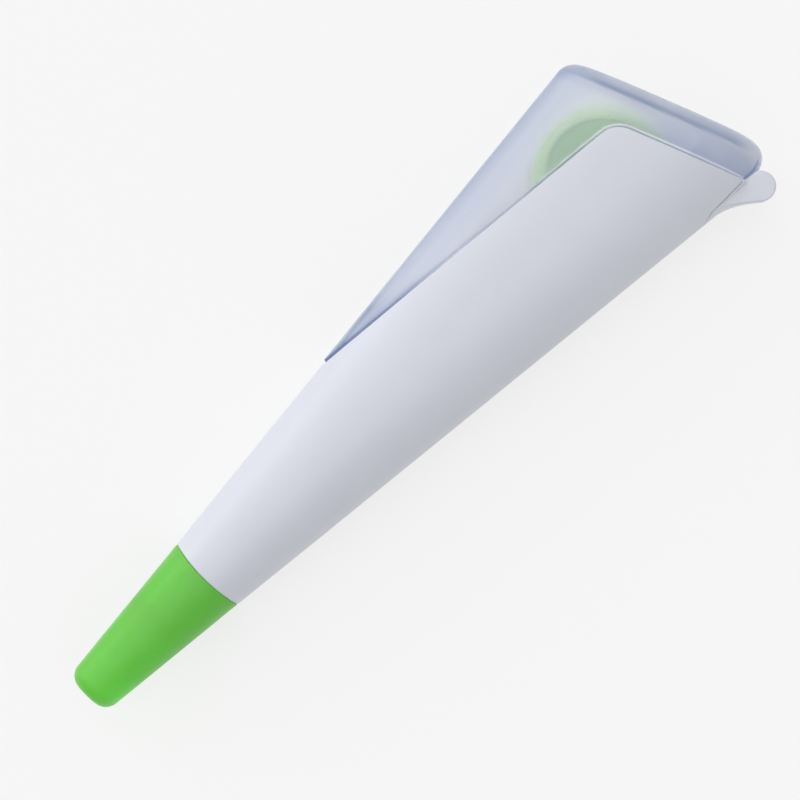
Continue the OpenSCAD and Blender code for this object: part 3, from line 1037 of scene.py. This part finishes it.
@dataclass
class ReelCase:
    """The two translucent case halves, bare and nearly flush at the window and the tail."""

    finish: FrostedPlastic
    cut: WindowCut = WindowCut(grow=0.15)
    hidden: Inset = all_round(1.25)
    inside: Inset = all_round(2.25)
    bare: Inset = Inset(-0.33, 1.1, 0.1)
    room: float = 5.8
    seam: float = 0.05
    end_wall: float = 2.4
    round_up: float = 2.6
    round_low: float = 7.0
    round_face: float = 2.6
    inner_up: float = 1.3
    inner_low: float = 4.5
    rows: int = 72
    corner_rows: int = 12
    tail_rows: int = 12
    tail_crowd: float = 1.6
    round_rows: int = 16
    end_rows: int = 3
    hidden_columns: int = 44
    bare_columns: int = 30
    edge_crowd: float = 1.5
    # Painted shade towards the upper side, and a painted dark line near the window's point
    side_shade: float = 0.5
    side_gain: float = 1.16
    side_rise: Ramp = Ramp(-35.0, -15.0)
    side_fade: float = 5.2
    second_line_shade: float = 0.35
    rim_at: float = 0.7
    rim_width: float = 0.3
    rim_rise: Ramp = Ramp(-38.0, -46.0)
    # Painted shade at the tail: a band over the end wall that is partly its thickness, a zone up to the
    # covers and a shoulder
    band_shade: float = 0.5
    band_in: Ramp = Ramp(0.95, 2.12)
    band_out: Ramp = Ramp(2.57, 2.12)
    band_low: Ramp = Ramp(-15.0, -11.0)
    band_high: Ramp = Ramp(19.0, 10.0)
    band_gain: tuple[float, float] = (0.95, 1.12)
    gain_rise: Ramp = Ramp(-6.0, 10.0)
    zone_shade: float = 0.5
    zone_gain: tuple[float, float] = (0.35, 1.1)
    zone_in: Ramp = Ramp(0.5, -1.0)
    zone_low: Ramp = Ramp(11.0, -5.0)
    shoulder_shade: float = 0.15
    shoulder_in: Ramp = Ramp(4.5, 2.5)
    shoulder_up: Ramp = Ramp(0.0, 6.0)
    # Painted shade in the joint at the covers' edge, stronger near the window's point and by the reel
    gap_shade: float = 0.35
    gap_width: float = 0.2
    reel_gap_shade: float = 0.5
    reel_in: Ramp = Ramp(-15.0, -8.0)
    reel_out: Ramp = Ramp(3.0, -1.0)
    point_gap_shade: float = 0.6
    line_width: float = 0.6
    line_rise: Ramp = Ramp(-12.0, -52.0)
    # The painted highlight along the covers' edge
    highlight_at: float = 0.32
    highlight_width: float = 0.18
    highlight_milk: float = 2.3
    highlight_rise: Ramp = Ramp(-22.0, 4.0)
    clear_x: float = -1.2
    clear_end: Ramp = Ramp(10.4, 13.4)
    # Painted shade at the lug's seat
    seat_rise: float = 4.2
    seat_width: float = 0.3
    seat_in: Ramp = Ramp(-16.4, -17.2)

    def tail_run(self, tail_s: float, up: float, low: float, face: float) -> list[Station]:
        """Sections from the covers' end to a tail whose edge is rounded.

        Args:
            tail_s: the tail's own section.
            up: radius of the edge at the upper side.
            low: radius at the lower side.
            face: radius at the face.

        Returns:
            The sections.
        """
        start, lag, lean = self.cut.tail_s, low - up, math.cos(FORM.tail_slant)
        steps = [t**self.tail_crowd for t in shares(self.tail_rows)]
        run = [Station(mix(start, tail_s - up, t), lag=lag * t) for t in steps]
        for a in turns(QUARTER, self.round_rows)[1:]:
            gone, left = 1 - math.cos(a), 1 - math.sin(a)
            run.append(Station(tail_s - up * left, up * gone, low * lean * gone, face * gone, lag * left))
        return run

    def spread(self, s: float) -> tuple[list[float], list[float]]:
        """Angles of the columns.

        Args:
            s: the section.

        Returns:
            The angles under the covers, and those of the bare columns.
        """
        scale = scale_at(s)
        edge = self.cut.edge_place(min(s, self.cut.tail_s))
        low = [scale.angle(mix(0.0, edge, t)) for t in shares(self.hidden_columns)]
        high = [scale.angle(mix(edge, 1.0, t**self.edge_crowd)) for t in shares(self.bare_columns)]
        return low, high

    def end_face(self, row: list[Vector]) -> PointRows:
        """Rows that close the tail down to the parting plane."""
        levels = [1 - t for t in shares(self.end_rows)[1:]]
        return [[Vector((p.x, p.y, mix(FORM.mid_z, p.z, level))) for p in row] for level in levels]

    def outer_sheet(self) -> PointRows:
        """Points of the outer face, with a step at the covers' edge.

        Returns:
            Rows of points from the front end to the tail.
        """
        first, last = -FORM.case_len, self.cut.tail_s
        corner = [mix(self.cut.corner_s, last, math.sin(QUARTER * t)) for t in shares(self.corner_rows)]
        straight = (mix(first, self.cut.corner_s, t) for t in shares(self.rows))
        limit = FORM.mid_z - self.bare.face
        rows = []
        for s in sorted({*straight, self.cut.point_s, *corner}):
            low, high = self.spread(s)
            open_face = self.bare if s > self.cut.point_s else self.hidden
            rows.append(
                [FORM.point(Station(s), self.hidden, angle) for angle in low]
                + [FORM.point(Station(s), open_face, angle, limit) for angle in high]
            )
        angles = list(chain(*self.spread(last)))
        for station in self.tail_run(FORM.tail_len, self.round_up, self.round_low, self.round_face):
            rows.append([FORM.point(station, self.bare, angle, limit) for angle in angles])
        return rows + self.end_face(rows[-1])

    def inner_sheet(self, outer_rows: int) -> PointRows:
        """Points of the smooth inner face.

        Args:
            outer_rows: number of rows of the outer face.

        Returns:
            As many rows.
        """
        last = self.cut.tail_s
        tail = self.tail_run(FORM.tail_len - self.end_wall, self.inner_up, self.inner_low, self.inner_up)
        count = outer_rows - len(tail) - self.end_rows
        body = [Station(mix(-FORM.case_len, last, t)) for t in shares(count - 1)]
        places = shares(self.hidden_columns + self.bare_columns + 1)
        rows = []
        for station in body + tail:
            scale = scale_at(min(station.s, last))
            rows.append([FORM.point(station, self.inside, scale.angle(t), self.room) for t in places])
        return rows + self.end_face(rows[-1])

    def tail_shade(self, spot: Vector) -> float:
        """Painted shade at the tail: a dark band that stops short of the end wall, partly the look of the
        thick end wall and darker towards the lit upper side, a darker zone up to the covers, stronger
        towards the lower side where the inside is dark, and a faint shoulder of shade by the covers.

        Args:
            spot: the point.

        Returns:
            The painted shade.
        """
        slant, show = FORM.tail_slant, self.cut.tail_show
        away = (FORM.tail_len - spot.x) * math.cos(slant) - spot.y * math.sin(slant)
        band = self.band_shade * self.band_in.at(away) * self.band_out.at(away)
        band *= self.band_low.at(spot.y) * self.band_high.at(spot.y)
        band *= mix(*self.band_gain, self.gain_rise.at(spot.y))
        zone = self.zone_shade * self.zone_in.at(away - show) * self.zone_low.at(spot.y)
        zone *= mix(*self.zone_gain, away / show)
        return band + zone + self.shoulder_shade * self.shoulder_in.at(away) * self.shoulder_up.at(spot.y)

    def upper_side_shade(self, spot: Vector) -> float:
        """Painted shade towards the upper side, where the wall is seen edge-on, with a second painted dark
        line near the window's point.

        Args:
            spot: the point.

        Returns:
            The painted shade.
        """
        away = max(0.0, FORM.half_width(spot.x) - self.bare.upper - spot.y)
        line = bell((away - self.rim_at) / self.rim_width) * self.rim_rise.at(spot.x)
        gain = mix(1.0, self.side_gain, self.side_rise.at(spot.x))
        return self.side_shade * gain * math.exp(-away / self.side_fade) + self.second_line_shade * line

    def edge_highlight(self, spot: Vector) -> float:
        """Share of the painted highlight that runs along the case's edge by the covers and dies out towards
        the window's point.
        """
        return bell((self.cut.distance(spot) - self.highlight_at) / self.highlight_width) * self.highlight_rise.at(spot.x)

    def depth(self, spot: Vector, half: Half) -> float:
        """How deep the blue tone is at a point: thick plastic and painted shade, with painted shade in the
        joints at the covers and at the lug, cut back by a painted highlight along the covers' edge.

        Args:
            spot: the point, in the front half.
            half: the half that it stands for.

        Returns:
            The tone, from 0 to 1.
        """
        # Painted shade in the joints at the covers' edge and at the lug's seat.
        to_line = self.line_rise.at(spot.x)
        reach = self.cut.distance(spot) / mix(self.gap_width, self.line_width, to_line)
        by_reel = self.reel_gap_shade * self.reel_in.at(spot.x) * self.reel_out.at(spot.x)
        joint_shade = (mix(self.gap_shade, self.point_gap_shade, to_line) + by_reel) * bell(reach)
        if half is Half.FRONT and spot.y < 0:
            at_lug = bell((spot.z - FORM.mid_z - self.seat_rise) / self.seat_width)
            joint_shade += at_lug * self.seat_in.at(spot.y)
        # Painted shade at the upper side and the tail, cut back where the painted highlight lies.
        plain = self.upper_side_shade(spot) + self.tail_shade(spot)
        return min(1.0, plain * (1 - self.edge_highlight(spot)) + joint_shade)

    def milk_and_highlight(self, spot: Vector) -> float:
        """How milky the plastic is, from 0 over the reel's disc to 1, and more at the painted highlight
        along the covers' edge.
        """
        off_disc = self.clear_end.at(math.hypot(spot.x - self.clear_x, spot.y))
        return max(self.highlight_milk * self.edge_highlight(spot), off_disc)

    def build_half(self, half: Half, name: str) -> Object:
        """Builds one half as a closed shell.

        Args:
            half: which half.
            name: the piece's name.

        Returns:
            The piece.
        """
        bm = bmesh.new()
        outer = self.outer_sheet()
        closed_shell(bm, outer, self.inner_sheet(len(outer)))
        finish, columns = self.finish, len(outer[0])
        names = (finish.thick_and_shade_layer, finish.milk_and_highlight_layer, finish.inner_layer)
        depth, milk_and_highlight, inner = (bm.verts.layers.float.new(layer) for layer in names)
        # Each point takes painted shade in its blue tone and a painted highlight in its milkiness.
        for i, vert in enumerate(bm.verts):
            vert.co.z = max(vert.co.z, FORM.mid_z + self.seam / 2)
            vert[depth] = self.depth(vert.co, half)
            vert[milk_and_highlight] = self.milk_and_highlight(vert.co)
            vert[inner] = float(columns <= i % (2 * columns + 1) < 2 * columns)
        close_seams(bm)
        if half is Half.REAR:
            bmesh.ops.scale(bm, vec=(1.0, 1.0, -1.0), verts=bm.verts)
            bmesh.ops.translate(bm, vec=(0.0, 0.0, 2 * FORM.mid_z), verts=bm.verts)
        bmesh.ops.recalc_face_normals(bm, faces=bm.faces)
        return finish_mesh(bm, name)

    def build(self) -> None:
        """Builds and dresses both halves."""
        material = self.finish.build()
        for half in Half:
            side = half.name.lower()
            piece = self.build_half(half, f"{side}_window")
            place_piece(piece, material, Body.ROOT, f"{side}_case")


@dataclass
class TubePiece:
    """A hollow piece that goes round the pen: the pull-off cap or the collar that it snaps on."""

    name: str
    node: str
    slot: str
    body: Body
    finish: MouldedPlastic
    mouth_s: float
    end_s: float
    outside: float
    wall: float
    end_wall: float = 0.0
    end_round: float = 0.0
    rim_r: float = 0.3
    rim_steps: int = 8
    rows: int = 26
    round_rows: int = 10
    axis_rows: int = 4
    around: int = 96

    @property
    def toward(self) -> float:
        """Direction along the pen from the mouth to the other end, as 1 or -1."""
        return math.copysign(1.0, self.end_s - self.mouth_s)

    def ring(self, s: float, depth: float, shrink: float = 1.0) -> list[Vector]:
        """Closed ring of points.

        Args:
            s: its section.
            depth: its depth inside the form.
            shrink: share of its size that it keeps, drawn in towards the axis.

        Returns:
            The points, with the first one again at the end.
        """
        points = [FORM.point(Station(s), all_round(depth), a) for a in turns(2 * math.pi, self.around)]
        axis = Vector((s, 0.0, FORM.mid_z))
        return [Vector((p.x, *axis.lerp(p, shrink).yz)) for p in points]

    def rim(self, s: float, toward: float) -> PointRows:
        """Round rim at an open end, from the inner to the outer wall.

        Args:
            s: section of the rim's outermost line.
            toward: direction in which the end is open, as 1 or -1.

        Returns:
            The rings.
        """
        r, middle = self.rim_r, self.outside + self.wall / 2
        rows = []
        for a in turns(math.pi, self.rim_steps):
            depth = middle + math.copysign(self.wall / 2 - r, math.cos(a)) + r * math.cos(a)
            rows.append(self.ring(s - toward * r * (1 - math.sin(a)), depth))
        return rows

    def end_cap(self, s: float, depth: float, radius: float) -> PointRows:
        """Rounded closed end, from its wall to the axis.

        Args:
            s: section of the end.
            depth: depth of its wall inside the form.
            radius: radius of its edge.

        Returns:
            The rings.
        """
        rows = []
        for a in turns(QUARTER, self.round_rows):
            back, inward = radius * (1 - math.sin(a)), radius * (1 - math.cos(a))
            rows.append(self.ring(s - self.toward * back, depth + inward))
        return rows + [self.ring(s, depth + radius, 1 - t) for t in shares(self.axis_rows)[1:]]

    def wall_rows(self, first: float, last: float, depth: float) -> PointRows:
        """Plain rings of a wall between its ends."""
        return [self.ring(mix(first, last, t), depth) for t in shares(self.rows)[1:-1]]

    def build(self) -> None:
        """Builds and dresses the piece."""
        toward, inner = self.toward, self.outside + self.wall
        if self.end_wall:
            outer_end = self.end_cap(self.end_s, self.outside, self.end_round)
            inner_end = self.end_cap(self.end_s - toward * self.end_wall, inner, self.end_round / 2)
            outer_stop = self.end_s - toward * self.end_round
            inner_stop = self.end_s - toward * (self.end_wall + self.end_round / 2)
        else:
            outer_end, inner_end = self.rim(self.end_s, toward)[::-1], []
            outer_stop = inner_stop = self.end_s - toward * self.rim_r
        start = self.mouth_s + toward * self.rim_r
        rows = inner_end[::-1] + self.wall_rows(inner_stop, start, inner) + self.rim(self.mouth_s, -toward)
        rows += self.wall_rows(start, outer_stop, self.outside) + outer_end
        if not self.end_wall:
            rows.append(rows[0])
        bm = bmesh.new()
        lay_grid(bm, rows)
        close_seams(bm)
        place_piece(finish_mesh(bm, self.name), self.finish.build(), self.body, self.node)


@dataclass
class TapeDrive:
    """The reels, gears, posts, strands and the applicator, which keep their solids' shapes."""

    dressed: tuple[tuple[Finish, tuple[str, ...]], ...]
    soft_edge: float = 0.12
    edge_steps: int = 2

    def build(self) -> None:
        """Softens the solids' edges and dresses them."""
        for finish, names in self.dressed:
            material = finish.build()
            for name in names:
                self.dress(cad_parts[name], material)

    def dress(self, node: Object, material: Material) -> None:
        """Gives a solid its material and slightly broken edges.

        Args:
            node: the solid.
            material: its material.
        """
        if not node.material_slots:
            node.data.materials.append(None)
        for slot in node.material_slots:
            slot.material = material
        add_modifier(node, "weld", "WELD", merge_threshold=WELD * MM)
        round_edges(node, "edge", self.soft_edge, self.edge_steps)
        LOG.info("%s: dressed", node.name)


class Lamp(NamedTuple):
    """A far lamp: its level, its tilt from overhead towards the window side and how wide it looks."""

    name: str
    level: float
    tilt: float
    spread: float


@dataclass
class Studio:
    """Pale floor, soft light from the window side and a camera over the pen."""

    floor: PaleFloor
    floor_half: float = 1500.0
    floor_drop: float = 0.05
    sky: float = 0.5
    lamps: tuple[Lamp, ...] = (
        Lamp("side", 0.55, math.radians(80), math.radians(80)),
        Lamp("over", 0.21, math.radians(15), math.radians(45)),
        Lamp("fill", 0.05, math.radians(-80), math.radians(40)),
    )
    view_at: tuple[float, float] = (-52.06, -2.26)
    view_dist: float = 750.0
    view_turn: float = math.radians(-45)
    view_width: float = 138.35

    def build(self) -> None:
        """Sets up the floor, the light and the camera."""
        scene = bpy.context.scene
        scene.view_settings.view_transform = "Standard"
        self.build_floor()
        self.build_light(scene)
        camera = bpy.data.cameras.new("photo_view")
        camera.lens = camera.sensor_width * self.view_dist / self.view_width
        scene.camera = link_object("photo_view", camera)
        scene.camera.location = Vector((*self.view_at, FORM.mid_z + self.view_dist)) * MM
        scene.camera.rotation_euler = (0.0, 0.0, self.view_turn)

    def build_floor(self) -> None:
        """Lays the floor that the pen lies on, a hair below its flat so that the two faces don't mix."""
        bm = bmesh.new()
        bmesh.ops.create_grid(bm, x_segments=1, y_segments=1, size=self.floor_half)
        bmesh.ops.translate(bm, vec=(0.0, 0.0, -self.floor_drop), verts=bm.verts)
        floor = finish_mesh(bm, "floor")
        floor.data.materials.append(self.floor.build())

    def build_light(self, scene: bpy.types.Scene) -> None:
        """Sets an even sky and the broad soft lamps.

        Args:
            scene: the scene that they light.
        """
        scene.world = bpy.data.worlds.new("studio")
        scene.world.use_nodes = True
        tree = scene.world.node_tree
        tree.nodes.clear()
        sky = add_node(tree, "Background", {"Color": linear("#FFFFFF"), "Strength": self.sky})
        add_node(tree, "OutputWorld", {"Surface": sky})
        for lamp in self.lamps:
            light = bpy.data.lights.new(lamp.name, "SUN")
            light.energy = lamp.level * math.pi
            light.angle = lamp.spread
            link_object(lamp.name, light).rotation_euler = (-lamp.tilt, 0.0, 0.0)


# Satin white ABS from a polished mould: a cool white with a broad soft gloss
WHITE_ABS = MouldedPlastic("satin_white_abs", "#DCDFE9", "#D7DAE5", roughness=0.4, sheen_level=0.75)
# Frosted polystyrene: milky and blurring what lies below it, with a deep blue for thick walls and for
# painted shade
FROSTED_CASE = FrostedPlastic(
    "frosted_polystyrene", "#F3F5FA", "#8096C1",
    roughness=0.14, frost=0.5, clear=0.79, milky=0.57, way_in="#F8F9FC",
)
# Satin polypropylene in a clear leaf green: an even strong tone with a wide sheen
GREEN_PP = MouldedPlastic(
    "satin_green_polypropylene", "#66B340", "#61AE3A",
    roughness=0.42, sheen_level=0.6, glow=1.0, glow_mm=(5.0, 12.0, 4.0), way_in="#DFF5D4",
)
# Thin moulded reel in the same green: pale at the flange, partly painted haze, dense in the raised disc,
# with painted shade at its edge
GREEN_REEL = ReelPlastic("moulded_green_reel", "#BEEE8F", "#55B63A", "#2E8A2E", 9.9, 0.4, roughness=0.5)
# Acetal of the frame and the gears: dense, pale and slightly waxy
FRAME_ACETAL = MouldedPlastic("pale_grey_acetal", "#D9DBDF", "#D1D3D8", roughness=0.45)
GEAR_ACETAL = MouldedPlastic("ivory_acetal", "#E9E8E0", "#E2E1D8", roughness=0.4)
# Rubber of the clutch and of the applicator's edge: dull, with a coarse grain
CLUTCH_RUBBER = MouldedPlastic("black_clutch_rubber", "#353538", "#2D2D30", roughness=0.8, grain_mm=0.5)
TIP_RUBBER = MouldedPlastic("grey_tip_rubber", "#C3C7CE", "#B9BDC5", roughness=0.7, grain_mm=0.4)
# Wound correction tape, dull white, and the bare carrier film, greyer and shinier
TAPE = WoundFilm("wound_correction_tape", "#F4F4F0", "#E2E2DE", 0.0, roughness=0.6)
FILM = WoundFilm("wound_carrier_film", "#D2D6DC", "#BFC4CC", -29.0, roughness=0.3)
# The same tape and film where they run to the tip and back: chalky and even, and bare and smooth
TAPE_STRAND = MouldedPlastic("chalky_coated_tape", "#F2F2EE", "#E9E9E4", roughness=0.6, grain_mm=0.25)
FILM_STRAND = MouldedPlastic("smooth_carrier_film", "#D2D6DC", "#C8CCD4", roughness=0.3, bump_um=1.0)
# Matt white card: even and pale, with a soft shadow
WHITE_CARD = PaleFloor("matt_white_floor", "#F6F6F6", "#FCFCFC", glow=0.75)


def main() -> None:
    """Builds every sub-assembly and reports its pieces."""
    logging.basicConfig(level=logging.INFO, format="%(name)s: %(message)s")
    Sheath(WHITE_ABS).build()
    ReelCase(FROSTED_CASE).build()
    TubePiece(
        "pull_off_cap", "cap", "green_cap", Body.CAP, GREEN_PP,
        mouth_s=-97.48, end_s=-126.25, outside=0.0, wall=1.2, end_wall=1.5, end_round=2.3,
    ).build()
    TubePiece(
        "snap_collar", "nose_collar", "frame_plastic", Body.ROOT, FRAME_ACETAL,
        mouth_s=-107.0, end_s=-88.0, outside=1.3, wall=1.0,
    ).build()
    gears = ("supply_gear", "idler_gear", "take_up_spool", "take_up_flange")
    TapeDrive((
        (GREEN_REEL, ("supply_reel",)),
        (FRAME_ACETAL, ("chassis", "applicator")),
        (GEAR_ACETAL, (*gears, "post_cap", "idler_cap", "take_up_cap")),
        (CLUTCH_RUBBER, ("clutch_ring",)),
        (TIP_RUBBER, ("tip_pad",)),
        (TAPE, ("tape_roll",)),
        (FILM, ("take_up_film",)),
        (TAPE_STRAND, ("tape_feed",)),
        (FILM_STRAND, ("tape_return",)),
    )).build()
    Studio(WHITE_CARD).build()


if __name__ == "__main__":
    main()
